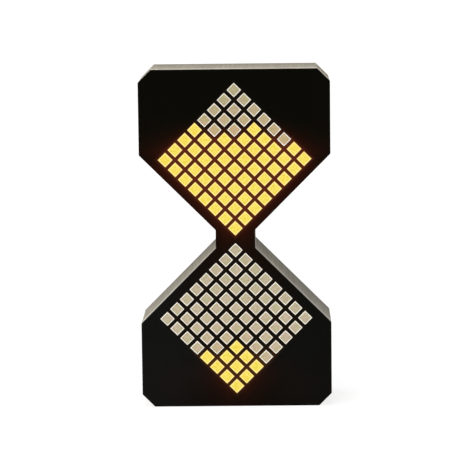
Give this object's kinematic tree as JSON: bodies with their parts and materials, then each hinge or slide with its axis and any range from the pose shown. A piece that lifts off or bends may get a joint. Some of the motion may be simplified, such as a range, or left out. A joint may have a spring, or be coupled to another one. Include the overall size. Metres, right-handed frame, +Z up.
{
  "type": "digital hourglass timer",
  "caption": "Free-standing electronic timer in an hourglass outline, with square pixel tiles that show falling grains of light, rear keys and a battery flap.",
  "frame": {"origin": "centre of the footprint, on the surface that the timer stands on", "axes": "+Z up, +Y to the back, so the face looks along -Y, and +X to the right of the face"},
  "size_m": [0.082, 0.037, 0.146],
  "materials": {
    "black_face": "black face panel, smooth with a soft gloss",
    "black_tape": "black double-sided foam tape",
    "lit_tiles": "translucent diffusing tiles, lit yellow",
    "unlit_tiles": "translucent beige diffusing tiles",
    "white_moulding": "white moulded plastic",
    "pale_grey_moulding": "pale warm-grey moulded plastic",
    "zinc_screws": "zinc-plated steel",
    "circuit_board": "green solder-masked glass-epoxy board",
    "led_package": "white diode package with a pale lens",
    "chip_black": "black moulded epoxy",
    "ivory_socket": "ivory nylon",
    "ribbon_grey": "grey insulated flat cable",
    "satin_metal": "satin warm-grey anodised aluminium with fine lines along the depth",
    "charcoal_moulding": "charcoal plastic with a fine spark-eroded grain",
    "dark_screws": "black-oxide steel",
    "capacitor_can": "sleeved aluminium can",
    "switch_case": "grey plastic switch case",
    "grey_button": "warm-grey plastic cap, smooth satin",
    "cell_sleeve": "printed-free two-tone sleeve on a dry cell, with a density close to a cell's",
    "spring_contact": "nickel-plated spring steel",
    "red_wire": "red insulated wire",
    "black_wire": "black insulated wire"
  },
  "bodies": {
    "timer_body": {"front_panel": "black_face", "panel_tape": "black_tape", "upper_pixel_tiles": "lit_tiles", "lower_pixel_tiles": "unlit_tiles", "upper_light_baffle": "white_moulding", "lower_light_baffle": "white_moulding", "carrier_frame": "pale_grey_moulding", "carrier_screws": "zinc_screws", "display_board": "circuit_board", "display_board_screws": "zinc_screws", "upper_leds": "led_package", "lower_leds": "led_package", "upper_led_driver": "chip_black", "lower_led_driver": "chip_black", "display_socket": "ivory_socket", "ribbon_cable": "ribbon_grey", "control_socket": "ivory_socket", "housing": "satin_metal", "back_cover": "charcoal_moulding", "back_screws": "dark_screws", "control_board": "circuit_board", "control_board_screws": "zinc_screws", "controller_chip": "chip_black", "motion_sensor": "chip_black", "voltage_regulator": "chip_black", "smoothing_capacitor": "capacitor_can", "buzzer": "chip_black", "mode_switch": "switch_case", "time_switch": "switch_case", "power_switch": "switch_case", "battery_cell_top": "cell_sleeve", "battery_cell_middle": "cell_sleeve", "battery_cell_bottom": "cell_sleeve", "left_battery_contacts": "spring_contact", "right_battery_contacts": "spring_contact", "red_battery_lead": "red_wire", "black_battery_lead": "black_wire"},
    "mode_key": {"mode_button": "grey_button", "mode_plunger": "chip_black"},
    "time_key": {"time_button": "grey_button", "time_plunger": "chip_black"},
    "power_slider": {"power_knob": "grey_button", "power_lever": "chip_black"},
    "battery_flap": {"battery_door": "charcoal_moulding"}
  },
  "joints": [
    {"name": "mode_button_press", "type": "slide", "parent": "timer_body", "child": "mode_key", "axis": [0, -1, 0], "range_m": [0, 0.0005], "stiffness_N_per_m": 800},
    {"name": "time_button_press", "type": "slide", "parent": "timer_body", "child": "time_key", "axis": [0, -1, 0], "range_m": [0, 0.0005], "stiffness_N_per_m": 800},
    {"name": "power_switch_slide", "type": "slide", "parent": "timer_body", "child": "power_slider", "axis": [1, 0, 0], "range_m": [0, 0.003]},
    {"name": "battery_flap_hinge", "type": "hinge", "parent": "timer_body", "child": "battery_flap", "pos_m": [0, 0.0164, 0.04135], "axis": [1, 0, 0], "range_deg": [0, 90]}
  ]
}
